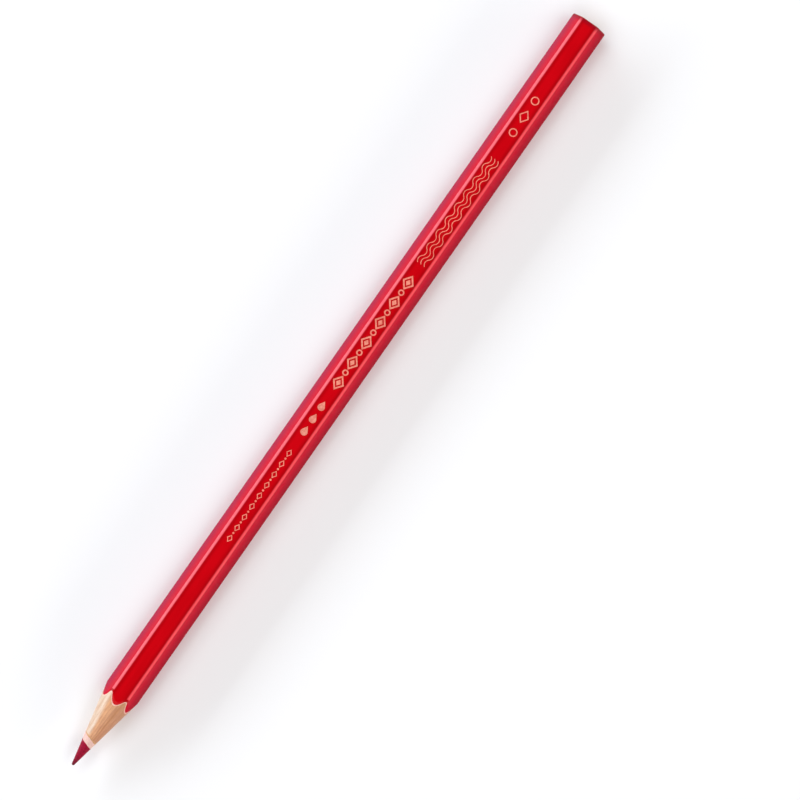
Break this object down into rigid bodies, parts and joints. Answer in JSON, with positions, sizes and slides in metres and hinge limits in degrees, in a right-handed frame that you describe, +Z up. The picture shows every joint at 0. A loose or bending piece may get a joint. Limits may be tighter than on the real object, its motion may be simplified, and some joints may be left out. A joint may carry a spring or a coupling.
{
  "type": "watercolour pencil",
  "caption": "Sharpened hexagonal wooden watercolour pencil: jacketed lead, two glued slats, red lacquer coats, trimmed blunt end, lying on a facet.",
  "frame": {"origin": "on the surface that the pencil lies on, under the middle of its length", "axes": "+X along the barrel from the point towards the blunt end, +Z up, square to the facet that it lies on and to the decorated facet"},
  "size_m": [0.175, 0.0074, 0.0066],
  "materials": {
    "lead": "waxy crimson pigment core",
    "jacket": "chalky off-white protective layer",
    "glue": "dried wood glue",
    "wood": "bare sharpened wood",
    "undercoat": "pale filler coat",
    "colour_coat": "red lacquer",
    "clear_coat": "glossy clear lacquer",
    "foil": "gold stamping foil"
  },
  "bodies": {
    "root": {"lead_core": "lead", "lead_jacket": "jacket", "glue_film": "glue", "upper_slat": "wood", "lower_slat": "wood", "undercoat": "undercoat", "colour_coat": "colour_coat", "clear_coat": "clear_coat"}
  },
  "joints": []
}
